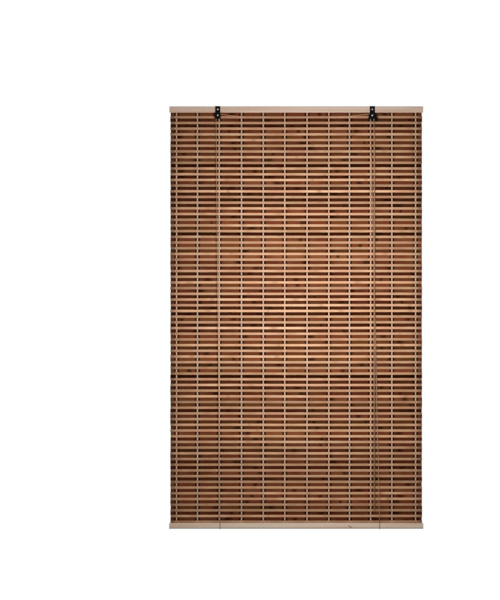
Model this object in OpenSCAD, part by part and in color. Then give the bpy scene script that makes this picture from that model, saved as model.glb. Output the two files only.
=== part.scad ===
// Bamboo roll up blind: a woven slat mat hung from a batten, with two brackets, pulley wheels,
// a cord lock and lift cords that loop under the bottom rail. All sizes are in millimetres.
// X runs along the rails, -Y faces the room, +Y faces the wall and Z is up.
// The origin is midway between the two hanger holes, on the wall side of the brackets.

/* [Slat mat] */
// Pairs of a dark and a light slat in view between the rails
rows = 72; // [20:1:90]
// Length of a slat
slat_len = 895; // [700:1:1000]
// Height of a dark slat
dark_slat_h = 12; // [9:0.1:13]
// Height of a light slat
light_slat_h = 8.2; // [8:0.1:10]
// Thickness of a slat
slat_t = 1.6; // [1.2:0.1:2.4]
// Bevel along the edges of a slat
slat_bevel = 0.35; // [0.2:0.05:0.5]
// Slack between a slat and the next one
slat_gap = 0.02; // [0.01:0.01:0.2]
// How far the light slats stand in front of the dark ones
slat_stagger = 0.4; // [0.3:0.05:0.8]
// Distance from the wall to the middle of the mat
mat_standoff = 6; // [5.8:0.1:9]
// How far the mat and the rails stand to the right of the middle between the brackets
mat_shift = 4.4; // [0:0.1:8]

/* [Warp strings] */
// Distance from the end of a slat to the nearest string
string_inset = 22.5; // [15:0.5:60]
// Width of a string
string_w = 3.6; // [2:0.1:4]
// Thickness of a string
string_t = 1; // [0.8:0.1:1.2]
// How deep a string beds into the slats that it carries
string_bed = 0.1; // [0.05:0.05:0.15]

/* [Rails] */
// How far the headrail reaches past the slats at each end
headrail_overhang = 2.5; // [0:0.5:10]
// Height of the headrail
headrail_h = 21; // [20:0.5:26]
// How far the bottom rail reaches past the slats at each end
bottom_rail_overhang = 3.5; // [0:0.5:10]
// Height of the bottom rail
bottom_rail_h = 20; // [18:0.5:26]
// Depth of the headrail, front to back
headrail_d = 12; // [11.5:0.5:16]
// Depth of the bottom rail, front to back
bottom_rail_d = 8; // [7.6:0.1:8]
// Rounding along the edges of the rails
rail_edge_r = 2; // [1.2:0.1:3]
// Rounding along the lower edges of the bottom rail
bottom_edge_r = 3.6; // [2.5:0.1:3.7]
// Slack between the mat and the back of a rail
mat_seat = 0.02; // [0.01:0.01:0.1]

/* [Brackets] */
// Distance from the middle of the blind to a bracket
bracket_x = 274; // [200:1:300]
// Width of the bracket strap
bracket_w = 18.5; // [16:0.5:20]
// Thickness of the bracket steel
steel_t = 1.5; // [1:0.1:2]
// Inner radius of the bends
bend_r = 1; // [0.5:0.1:1.5]
// Diameter of a hanger hole
hanger_hole_d = 6; // [4:0.1:8]
// Length of the hanger leg below the hanger hole
hanger_leg = 11; // [8:0.5:16]
// Depth of the left bracket below the hanger holes
left_drop = 33; // [31:0.5:40]
// Reach of the left bracket's lower edge to each side
left_spread = 11; // [9.5:0.5:14]
// Depth of the right bracket below the hanger holes
right_drop = 43; // [40:0.5:50]
// Reach of the right bracket's lower part towards the middle
right_spread_in = 15; // [13:0.5:17]
// Reach of the right bracket's lower part towards the end
right_spread_out = 19; // [18:0.5:22]
// Depth below the hanger holes at which the brackets begin to widen
flare_start = 14.5; // [12:0.5:18]
// Depth below the hanger holes at which the right bracket is widest
flare_full = 32.5; // [30:0.5:36]
// How far the right bracket's outer legs taper in at their lower ends
leg_taper = 1.2; // [0.5:0.1:2]
// Width of a cord slot
slot_w = 5.5; // [3:0.1:6]
// Height of the cord slots of the right bracket
slot_h = 10; // [6:0.5:10]
// Room between the headrail and the rear cheek of a bracket
cheek_gap = 1; // [0.5:0.1:2]

/* [Wheels and axles] */
// Depth of the wheel axles below the hanger holes
axle_drop = 21; // [20.5:0.1:22]
// Outer radius of a wheel
wheel_r = 7.6; // [7.2:0.1:8]
// Width of a wheel
wheel_w = 4; // [3.6:0.1:4.1]
// Radius at which the cord runs round a wheel
cord_line_r = 6; // [5.9:0.1:6.1]
// Width of the groove at the rim
groove_w = 3.2; // [2.6:0.1:3.4]
// Width of the groove floor
groove_floor_w = 2.4; // [2.2:0.1:2.6]
// Room beside a wheel or the cam
side_gap = 0.3; // [0.2:0.05:0.5]
// Diameter of an axle
axle_d = 4; // [3:0.1:4.5]
// Diameter of an axle head
axle_head_d = 5.6; // [5:0.1:7]
// Height of an axle head and of the screw heads
head_h = 1.4; // [1:0.1:2]
// Height of a closed rivet end
rivet_end_h = 0.7; // [0.4:0.1:0.9]
// Radial clearance round axles, pins, screws and tacks
fit = 0.05; // [0.02:0.01:0.08]

/* [Lock cam] */
// Distance from the wheel axle to the cam pin, sideways
cam_offset = 11.8; // [11.5:0.1:12.2]
// Depth of the cam pin below the hanger holes
cam_drop = 24.5; // [24:0.1:25.5]
// Radius of the cam hub
cam_hub_r = 2.8; // [2.5:0.1:3]
// Depth of the toothed face below the cam pin
cam_face_drop = 2; // [1.6:0.1:2.4]
// Length of the toothed face
cam_face = 4; // [3:0.2:5]
// Number of teeth on the cam
cam_teeth = 5; // [3:1:6]
// Depth of a cam tooth
cam_tooth = 0.5; // [0.3:0.1:0.7]
// Diameter of the cam pin
cam_pin_d = 3; // [2:0.1:3.4]
// Diameter of the cam pin's ends
cam_pin_head_d = 4.6; // [4.2:0.1:5]

/* [Cords] */
// Diameter of the cords
cord_d = 2; // [1.6:0.1:2.2]
// Room between a cord and what it runs along
cord_gap = 0.3; // [0.2:0.05:0.4]
// Diameter of the knot at the end of the pull cords
knot_d = 7; // [6:0.5:7.5]
// Length of the cord ends below the knot
knot_tail = 22; // [10:1:40]

/* [Fasteners] */
// Diameter of a screw shank
screw_d = 3; // [2.5:0.1:3.4]
// Diameter of a screw head
screw_head_d = 5.4; // [5:0.1:7]
// Depth of a screw in the headrail
screw_bite = 8; // [5:0.5:9]
// Distance from the middle of the blind to a cord anchor screw
anchor_x = 300; // [290:1:320]
// Height of the cord anchor screws above the hanger holes
anchor_rise = 5.5; // [5:0.1:6]
// Diameter of a tack shank
tack_d = 1.6; // [1.2:0.1:2]
// Diameter of a tack head
tack_head_d = 5; // [4:0.1:6]
// Thickness of a tack head
tack_head_h = 0.8; // [0.5:0.1:0.9]
// Distance from the end of a slat to the end tack
tack_inset = 10; // [8:1:30]
// Depth of a tack in a rail
tack_bite = 6; // [4:0.5:8]

/* [Hidden] */
$fn = 48;
bend_steps = 6;
cord_sides = 8;
cut = 1;

// Lengths that follow from the slats' length
headrail_len = slat_len + 2 * headrail_overhang;
bottom_rail_len = slat_len + 2 * bottom_rail_overhang;
string_span = slat_len - 2 * string_inset;

// How far each string strays from even spacing
string_stray = [0, -3, -3, -1, -1, -2, 0, 0, -4, -6, -8, -1];
string_pitch = string_span / (len(string_stray) - 1);
string_x = [for (i = [0 : len(string_stray) - 1])
    mat_shift + i * string_pitch - string_span / 2 + string_stray[i]];
string_bevel = string_t * 0.35;

// One tack stands at each end of a slat, and the others midway between two strings
end_tack_x = slat_len / 2 - tack_inset;
tack_x = concat([mat_shift - end_tack_x],
    [for (i = [1 : 2 : len(string_x) - 3]) (string_x[i] + string_x[i + 1]) / 2],
    [mat_shift + end_tack_x]);

// Depths of the mat and the rails
mat_y = -mat_standoff;
light_y = mat_y - slat_stagger / 2;
dark_y = mat_y + slat_stagger / 2;
light_back_y = light_y + slat_t / 2;
dark_back_y = dark_y + slat_t / 2;
front_string_y = light_y - slat_t / 2 + string_bed - string_t / 2;
back_string_y = dark_back_y - string_bed + string_t / 2;
mat_front_y = front_string_y - string_t / 2;
rail_back_y = mat_front_y - mat_seat;
rail_front_y = rail_back_y - headrail_d;

// Heights of the mat and the rails
rail_top_z = headrail_h / 2;
mat_top_z = -headrail_h / 2;
row_pitch = dark_slat_h + light_slat_h + 2 * slat_gap;
bottom_rail_top_z = mat_top_z - rows * row_pitch;
top_tail_z = mat_top_z + slat_gap + light_slat_h;
bottom_tail_z = bottom_rail_top_z - dark_slat_h;
mat_h = top_tail_z - bottom_tail_z;

// Places of the bracket steel, the wheels and the cam
strap_z = rail_top_z + steel_t / 2;
front_leg_y = rail_front_y - steel_t / 2;
front_wheel_y = rail_front_y + side_gap + wheel_w / 2;
rear_wheel_y = front_wheel_y + wheel_w + side_gap;
single_room = wheel_w + 2 * side_gap;
double_room = 2 * wheel_w + 3 * side_gap;
groove_r = cord_line_r - cord_d / 2 - cord_gap;
cam_face_x = cord_line_r + cord_d / 2 + cord_gap - cam_offset;
anchor_head_y = rail_back_y + cord_d + cord_gap;

// Routes of the cords, from the anchor or the lock onwards
left_lift_route = [
    [-297.3, -6.7, 9.5], [-297.3, -6.7, 4], [-297.3, -5.6, 1], [-297.2, -3.6, -2.5], [-297, -2.6, -7],
    [-296.6, -2.6, -30], [-290, -2.6, -400], [-278, -2.6, -900], [-267, -2.6, -1380], [-266, -2.6, -1475],
    [-266, -2.9, -1479.5], [-266, -4, -1483], [-266, -6, -1486.2], [-266, -8.6, -1488.4],
    [-266, -11.5, -1489.1], [-266, -12.4, -1489.1], [-266, -14.8, -1488.4], [-266, -16.6, -1486.6],
    [-266, -17.2, -1484.2], [-266, -17.2, -1476], [-266.1, -17.2, -1462], [-269.5, -17.3, -1100],
    [-273.5, -17.4, -700], [-276.9, -17.5, -350], [-279.7, -17.6, -60], [-280, -17.6, -34],
    [-280, -17.6, -22]
];
right_lift_route = [
    [297.3, -6.7, 9.5], [297.3, -6.7, 4], [297.3, -5.6, 1], [297.3, -3.6, -2.5], [297.3, -2.6, -7],
    [297.3, -2.6, -30], [298, -2.6, -400], [299, -2.6, -900], [300, -2.6, -1380], [300, -2.6, -1475],
    [300, -2.9, -1479.5], [300, -4, -1483], [300, -6, -1486.2], [300, -8.6, -1488.4],
    [300, -11.5, -1489.1], [300, -12.4, -1489.1], [300, -14.8, -1488.4], [300, -16.6, -1486.6],
    [300, -17.2, -1484.2], [300, -17.2, -1476], [299.7, -17.2, -1462], [292, -15.4, -1110],
    [284, -14.8, -750], [276, -14.2, -390], [269, -13.4, -80], [268, -13.3, -34], [268, -13.3, -22]
];
cross_route = [
    [-280, -17.6, -22], [-280, -17.6, -21], [-279.2, -17.6, -18], [-277, -17.6, -15.8],
    [-274, -17.6, -15], [-270, -17.6, -15.3], [-262, -17.6, -16.6], [-245, -17.6, -19.6],
    [-222, -17.6, -22.6], [-190, -17.6, -24.9], [-140, -17.6, -26.2], [-70, -17.6, -26.8], [0, -17.6, -27],
    [70, -17.6, -26.7], [140, -17.6, -25.8], [190, -17.6, -23.9], [222, -17.6, -21.2],
    [245, -17.6, -18.5], [262, -17.6, -16.2], [270, -17.6, -15.2], [274, -17.6, -15],
    [277, -17.6, -15.8], [279.2, -17.6, -18], [280, -17.6, -21], [280, -17.6, -22]
];
front_pull_route = [
    [280, -17.6, -22], [280, -17.6, -46], [280, -17.7, -140], [280, -18.2, -400], [280, -18.8, -750],
    [280, -19.4, -1100], [280, -19.9, -1380], [280, -19.9, -1395]
];
rear_pull_route = [
    [268, -13.3, -22], [268, -13.3, -21], [268.8, -13.3, -18], [271, -13.3, -15.8], [274, -13.3, -15],
    [277, -13.3, -15.8], [279.2, -13.3, -18], [280, -13.3, -21], [280, -13.3, -46], [281.6, -14.9, -90],
    [282.3, -16.6, -140], [282.3, -17.7, -190], [282.3, -18.2, -400], [282.3, -18.8, -750],
    [282.3, -19.4, -1100], [282.3, -19.9, -1380], [282.3, -19.9, -1395]
];
knot_at = [281.15, -19.9, -1395];

// Points of a quarter circle about centre c, beginning at the angle a
function quarter(c, r, a) = [for (i = [0 : bend_steps])
    c + r * [cos(a + 90 * i / bend_steps), sin(a + 90 * i / bend_steps)]];

// Direction from point a to point b
function direction(a, b) = (b - a) / norm(b - a);

// One side of a strip that turns left by right angles along a path, offset to its outer side
function strip_side(path, offset) = concat(
    [path[0] + offset * outward(path[0], path[1])],
    [for (i = [1 : len(path) - 2])
        each bend(path[i], direction(path[i - 1], path[i]), direction(path[i], path[i + 1]), offset)],
    [path[len(path) - 1] + offset * outward(path[len(path) - 2], path[len(path) - 1])]
);
function outward(a, b) = [direction(a, b)[1], -direction(a, b)[0]];
function bend(p, way_in, way_out, offset) = let (mid_r = bend_r + steel_t / 2)
    [for (i = [0 : bend_steps]) let (a = 90 * i / bend_steps)
        p + mid_r * (way_out - way_in) + (mid_r + offset) * (way_in * sin(a) - way_out * cos(a))];
function backwards(list) = [for (i = [len(list) - 1 : -1 : 0]) list[i]];

// Tangent of a route at its point i
function heading(route, i) = direction(route[max(i - 1, 0)], route[min(i + 1, len(route) - 1)]);

// Stands a profile drawn in Y and Z along X
module along_x(length) {
    rotate([90, 0, 90]) linear_extrude(length, center = true) children();
}

// Stands a profile drawn in X and Z along Y, from depth y0 to depth y1
module along_y(y0, y1) {
    translate([0, y1, 0]) rotate([90, 0, 0]) linear_extrude(y1 - y0) children();
}

// A round bar along Y, from depth y0 to depth y1
module bar_y(d, y0, y1) {
    translate([0, y1, 0]) rotate([90, 0, 0]) cylinder(d = d, h = y1 - y0);
}

// Puts its children at both brackets
module at_brackets() {
    for (x = [-bracket_x, bracket_x]) translate([x, 0, 0]) children();
}

// One slat with its upper edge at z = 0 and its middle at y = 0
module slat(h) {
    t = slat_t / 2;
    b = slat_bevel;
    translate([mat_shift, 0, 0]) along_x(slat_len) polygon([[b - t, 0], [t - b, 0], [t, -b], [t, b - h],
        [t - b, -h], [b - t, -h], [-t, b - h], [-t, -b]]);
}

// One run of every string along the height of the mat, at depth y, with its round side towards face
module string_runs(y, face) {
    w = string_w / 2;
    t = face * string_t / 2;
    b = string_bevel;
    for (x = string_x) translate([x, y, bottom_tail_z]) linear_extrude(mat_h)
        polygon([[-w, -t], [w, -t], [w, t - face * b], [w - b, t], [b - w, t], [-w, t - face * b]]);
}

// Holes for the tacks, at height z
module tack_holes(z) {
    for (x = tack_x) translate([x, 0, z]) bar_y(tack_d + 2 * fit, rail_back_y - tack_bite - fit, cut);
}

// A rail with its back at the mat and its upper face at z = 0
module rail(length, h, d, low_r) {
    r = rail_edge_r;
    front_y = rail_back_y - d;
    translate([mat_shift, 0, 0]) along_x(length) polygon(concat(
        quarter([rail_back_y - r, -r], r, 0),
        quarter([front_y + r, -r], r, 90),
        quarter([front_y + low_r, low_r - h], low_r, 180),
        quarter([rail_back_y - low_r, low_r - h], low_r, 270)));
}

// Heights of the two tack rows, in the middle of the slats behind the rails
headrail_tack_z = top_tail_z - light_slat_h / 2;
bottom_tack_z = bottom_rail_top_z - dark_slat_h / 2;

module headrail() {
    color("tan") difference() {
        translate([0, 0, rail_top_z]) rail(headrail_len, headrail_h, headrail_d, rail_edge_r);
        at_brackets() bar_y(screw_d + 2 * fit, rail_front_y - cut, rail_front_y + screw_bite + fit);
        for (x = [-anchor_x, anchor_x]) translate([x, 0, anchor_rise])
            bar_y(screw_d + 2 * fit, rail_back_y - screw_bite - fit, rail_back_y + cut);
        tack_holes(headrail_tack_z);
    }
}

module bottom_rail() {
    color("tan") difference() {
        translate([0, 0, bottom_rail_top_z])
            rail(bottom_rail_len, bottom_rail_h, bottom_rail_d, bottom_edge_r);
        tack_holes(bottom_tack_z);
    }
}

// The dark slats on the string runs behind them, down to the slat behind the bottom rail
module dark_slats() {
    color("saddlebrown") difference() {
        union() {
            for (i = [0 : rows]) translate([0, dark_y, mat_top_z - i * row_pitch]) slat(dark_slat_h);
            string_runs(back_string_y, 1);
        }
        tack_holes(bottom_tack_z);
    }
}

// The light slats on the string runs in front of them, up to the slat behind the headrail
module light_slats() {
    color("burlywood") difference() {
        union() {
            for (i = [0 : rows]) translate([0, light_y, top_tail_z - i * row_pitch]) slat(light_slat_h);
            string_runs(front_string_y, -1);
        }
        tack_holes(headrail_tack_z);
    }
}

// A row of tacks through the slat with its back at depth y, at height z
module tacks(y, z) {
    color("silver") for (x = tack_x) translate([x, y, z]) {
        bar_y(tack_head_d, 0, tack_head_h);
        bar_y(tack_d, rail_back_y - tack_bite - y, 0);
    }
}

module headrail_tacks() { tacks(light_back_y, headrail_tack_z); }

module bottom_rail_tacks() { tacks(dark_back_y, bottom_tack_z); }

// Path of the bracket steel from the hanger leg over the headrail, down the front and round to the cheek
function bracket_path(drop, room) = let (cheek_y = rail_front_y + room + steel_t / 2) [
    [-steel_t / 2, -hanger_leg],
    [-steel_t / 2, strap_z],
    [front_leg_y, strap_z],
    [front_leg_y, steel_t / 2 - drop],
    [cheek_y, steel_t / 2 - drop],
    [cheek_y, mat_top_z - cheek_gap]
];

// A bracket folded from one strip, cut to an outline drawn in X and Z, with its holes
module folded_bracket(drop, room, outline) {
    path = bracket_path(drop, room);
    color("dimgray") difference() {
        intersection() {
            along_x(4 * bracket_w) polygon(
                concat(strip_side(path, steel_t / 2), backwards(strip_side(path, -steel_t / 2))));
            along_y(rail_front_y - steel_t - cut, cut) polygon(outline);
        }
        bar_y(hanger_hole_d, -steel_t - cut, cut);
        bar_y(screw_d + 2 * fit, rail_front_y - steel_t - cut, rail_front_y + cut);
        translate([0, 0, -axle_drop])
            bar_y(axle_d + 2 * fit, rail_front_y - steel_t - cut, rail_front_y + room + steel_t + cut);
        children();
    }
}

module left_bracket() {
    w = bracket_w / 2;
    top = rail_top_z + steel_t;
    translate([-bracket_x, 0, 0])
        folded_bracket(left_drop, single_room, [[-w, top], [w, top], [w, -flare_start],
            [left_spread, -left_drop], [-left_spread, -left_drop], [-w, -flare_start]])
            translate([-cord_line_r - slot_w / 2, rail_front_y + side_gap, -left_drop - cut])
                cube([slot_w, wheel_w, steel_t + 2 * cut]);
}

module right_bracket() {
    w = bracket_w / 2;
    top = rail_top_z + steel_t;
    translate([bracket_x, 0, 0])
        folded_bracket(right_drop, double_room, [[-w, top], [w, top], [w, -flare_start],
            [right_spread_out, -flare_full], [right_spread_out - leg_taper, -right_drop],
            [leg_taper - right_spread_in, -right_drop], [-right_spread_in, -flare_full],
            [-w, -flare_start]]) {
            for (side = [-1, 1]) translate([side * cord_line_r, 0, 0]) cord_slot();
            translate([cam_offset, 0, -cam_drop]) bar_y(cam_pin_d + 2 * fit, rail_front_y - steel_t - cut,
                rail_front_y + double_room + steel_t + cut);
        }
}

// A slot with a round head through the lower edge of the right bracket
module cord_slot() {
    along_y(rail_front_y - steel_t - cut, rail_front_y + double_room + steel_t + cut) {
        translate([0, slot_h - right_drop - slot_w / 2]) circle(d = slot_w);
        translate([-slot_w / 2, -right_drop - cut]) square([slot_w, slot_h + cut - slot_w / 2]);
    }
}

// A domed head on the plane y = 0, rising towards -Y
module domed_head(d, h) {
    rotate([90, 0, 0]) rotate_extrude()
        polygon([[0, 0], [d / 2, 0], [d / 2, h * 0.35], [d * 0.42, h * 0.75], [d * 0.26, h], [0, h]]);
}

module bracket_screws() {
    color("silver") at_brackets() translate([0, rail_front_y - steel_t, 0]) {
        domed_head(screw_head_d, head_h);
        bar_y(screw_d, 0, steel_t + screw_bite);
    }
}

module cord_anchor_screws() {
    color("silver") for (x = [-anchor_x, anchor_x]) translate([x, anchor_head_y, anchor_rise]) {
        rotate([0, 0, 180]) domed_head(screw_head_d, head_h);
        bar_y(screw_d, rail_back_y - screw_bite - anchor_head_y, 0);
    }
}

// A grooved wheel that turns about Y
module grooved_wheel() {
    w = wheel_w / 2;
    bore_r = axle_d / 2 + fit;
    color("gray") rotate([90, 0, 0]) rotate_extrude() polygon([[bore_r, -w], [wheel_r, -w],
        [wheel_r, -groove_w / 2], [groove_r, -groove_floor_w / 2], [groove_r, groove_floor_w / 2],
        [wheel_r, groove_w / 2], [wheel_r, w], [bore_r, w]]);
}

module left_wheel() { translate([-bracket_x, front_wheel_y, -axle_drop]) grooved_wheel(); }

module right_front_wheel() { translate([bracket_x, front_wheel_y, -axle_drop]) grooved_wheel(); }

module right_rear_wheel() { translate([bracket_x, rear_wheel_y, -axle_drop]) grooved_wheel(); }

// A rivet through both cheeks of a bracket, with a domed head in front and a closed end behind
module rivet(d, head_d, room) {
    translate([0, rail_front_y - steel_t, 0]) domed_head(head_d, head_h);
    bar_y(d, rail_front_y - steel_t, rail_front_y + room + steel_t);
    bar_y((d + head_d) / 2, rail_front_y + room + steel_t, rail_front_y + room + steel_t + rivet_end_h);
}

module left_axle() {
    color("silver") translate([-bracket_x, 0, -axle_drop]) rivet(axle_d, axle_head_d, single_room);
}

module right_axle() {
    color("silver") translate([bracket_x, 0, -axle_drop]) rivet(axle_d, axle_head_d, double_room);
}

module lock_cam_pin() {
    color("dimgray") translate([bracket_x + cam_offset, 0, -cam_drop])
        rivet(cam_pin_d, cam_pin_head_d, double_room);
}

// A toothed cam that bites the pull cords when they run back up
module lock_cam() {
    pitch = cam_face / cam_teeth;
    teeth = [for (i = [0 : cam_teeth - 1]) each [
        [cam_face_x + cam_tooth, -cam_face_drop - i * pitch],
        [cam_face_x, -cam_face_drop - (i + 0.5) * pitch]]];
    color("gray") translate([bracket_x + cam_offset, 0, -cam_drop])
        along_y(rail_front_y + side_gap, rail_front_y + double_room - side_gap) difference() {
            union() {
                circle(r = cam_hub_r);
                polygon(concat([[-cam_hub_r * 0.6, cam_hub_r * 0.7]], teeth,
                    [[cam_face_x + cam_tooth, -cam_face_drop - cam_face],
                    [cam_face_x + 3 * cam_tooth, -cam_face_drop - cam_face - cam_tooth],
                    [cam_hub_r * 0.7, -cam_hub_r * 0.6], [0, 0]]));
            }
            circle(d = cam_pin_d + 2 * fit);
        }
}

// A cord along a route, where side is a direction that the route never takes
module cord(route, side) {
    rings = len(route);
    points = [for (i = [0 : rings - 1])
        let (t = heading(route, i), u = direction([0, 0, 0], cross(t, side)), v = cross(t, u))
        for (k = [0 : cord_sides - 1]) let (a = 360 * k / cord_sides)
            route[i] + cord_d / 2 * (u * cos(a) + v * sin(a))];
    walls = [for (i = [0 : rings - 2], k = [0 : cord_sides - 1])
        let (a = i * cord_sides + k, b = i * cord_sides + (k + 1) % cord_sides)
            [a, a + cord_sides, b + cord_sides, b]];
    start_cap = [[for (k = [0 : cord_sides - 1]) k]];
    end_cap = [[for (k = [cord_sides - 1 : -1 : 0]) (rings - 1) * cord_sides + k]];
    color("peru") polyhedron(points, concat(walls, start_cap, end_cap));
}

module left_lift_cord() { cord(left_lift_route, [1, 0, 0]); }

module right_lift_cord() { cord(right_lift_route, [1, 0, 0]); }

module cross_cord() { cord(cross_route, [0, 1, 0]); }

module front_pull_cord() { cord(front_pull_route, [0, 1, 0]); }

module rear_pull_cord() { cord(rear_pull_route, [0, 1, 0]); }

// The knot that ties the two pull cords, flat where they enter it, with their cut ends below
module pull_knot() {
    r = knot_d / 2;
    knot_h = knot_d * 0.9;
    color("peru") translate(knot_at) {
        rotate_extrude() polygon([[0, 0], [r * 0.6, 0], [r, -r * 0.6], [r, -r * 1.2], [r * 0.75, -knot_h],
            [0, -knot_h]]);
        for (side = [-1, 1]) translate([side * cord_d * 0.55, 0, -knot_tail - knot_h])
            cylinder(d = cord_d, h = knot_tail);
    }
}

headrail();
bottom_rail();
dark_slats();
light_slats();
headrail_tacks();
bottom_rail_tacks();
left_bracket();
right_bracket();
bracket_screws();
left_wheel();
left_axle();
right_front_wheel();
right_rear_wheel();
right_axle();
lock_cam();
lock_cam_pin();
cord_anchor_screws();
left_lift_cord();
right_lift_cord();
cross_cord();
front_pull_cord();
rear_pull_cord();
pull_knot();
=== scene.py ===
"""Looks of a bamboo roll up blind: slat mat, warp strings, rails, brackets, cord lock and cords.

Lengths are in metres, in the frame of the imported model: X along the rails, -Y towards the room and Z up.
"""

import logging
import math
from collections.abc import Sequence
from dataclasses import dataclass, field
from enum import Enum

import bmesh
import bpy
import numpy as np
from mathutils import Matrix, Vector


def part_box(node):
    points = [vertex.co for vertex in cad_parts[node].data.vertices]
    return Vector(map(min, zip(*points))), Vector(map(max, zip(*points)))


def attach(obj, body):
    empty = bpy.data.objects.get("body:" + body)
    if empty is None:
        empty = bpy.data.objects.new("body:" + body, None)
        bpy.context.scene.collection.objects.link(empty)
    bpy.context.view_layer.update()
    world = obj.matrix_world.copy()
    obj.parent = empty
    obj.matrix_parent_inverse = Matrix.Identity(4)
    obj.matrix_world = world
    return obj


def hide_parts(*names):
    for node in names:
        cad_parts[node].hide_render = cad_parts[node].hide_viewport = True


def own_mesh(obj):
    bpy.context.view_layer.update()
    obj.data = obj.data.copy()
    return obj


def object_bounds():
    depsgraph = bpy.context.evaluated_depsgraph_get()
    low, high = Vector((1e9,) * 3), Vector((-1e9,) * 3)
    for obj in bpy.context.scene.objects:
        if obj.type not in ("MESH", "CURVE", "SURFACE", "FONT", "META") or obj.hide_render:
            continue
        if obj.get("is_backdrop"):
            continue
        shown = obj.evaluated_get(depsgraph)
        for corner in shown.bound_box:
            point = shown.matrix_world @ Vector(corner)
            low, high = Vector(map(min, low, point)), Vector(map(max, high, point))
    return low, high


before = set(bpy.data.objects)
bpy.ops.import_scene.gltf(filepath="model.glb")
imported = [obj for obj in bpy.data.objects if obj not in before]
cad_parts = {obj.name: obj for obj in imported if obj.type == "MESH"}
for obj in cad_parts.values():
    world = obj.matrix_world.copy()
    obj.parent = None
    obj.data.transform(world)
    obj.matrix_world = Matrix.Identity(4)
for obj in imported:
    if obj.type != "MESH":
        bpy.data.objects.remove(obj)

log = logging.getLogger("blind")

MM = 0.001
SEED_STRIDE = 91.7
# Middle parts of a noise's range, which a finish stretches over its own range
WIDE = (0.25, 0.75)
NARROW = (0.3, 0.7)

Colour = tuple[float, float, float, float]
Point = tuple[float, float, float]
Pair = tuple[float, float]
Socket = bpy.types.NodeSocket

WHITE: Colour = (1.0, 1.0, 1.0, 1.0)


def screen(red: int, green: int, blue: int) -> Colour:
    """Turns a screen colour into the linear colour that a shader takes.

    Args:
        red: Red from 0 to 255.
        green: Green from 0 to 255.
        blue: Blue from 0 to 255.

    Returns:
        The linear colour, opaque.
    """
    shares = [channel / 255 for channel in (red, green, blue)]
    red_l, green_l, blue_l = [s / 12.92 if s <= 0.04045 else ((s + 0.055) / 1.055) ** 2.4 for s in shares]
    return red_l, green_l, blue_l, 1.0


def screens(*colours: tuple[int, int, int]) -> tuple[Colour, ...]:
    """Turns several screen colours into linear ones."""
    return tuple(screen(*colour) for colour in colours)


class Body(Enum):
    """Moving bodies that pieces ride on."""

    HEADRAIL = "headrail"
    BOTTOM_RAIL = "bottom_rail"


class FarEnd(Enum):
    """What a run of cord ends in."""

    OBJECT = "object"
    KNOT = "knot"


class Lay(Enum):
    """How a run of cord lies."""

    TAUT = "taut"
    HANGING = "hanging"


class Facing(Enum):
    """Where the camera or a light looks, as its turn about X in degrees."""

    WALL = 90.0
    ROOM = -90.0


class SlatKind(Enum):
    """The two sorts of slat, which take turns down the mat."""

    DARK = "dark"
    LIGHT = "light"


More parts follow.
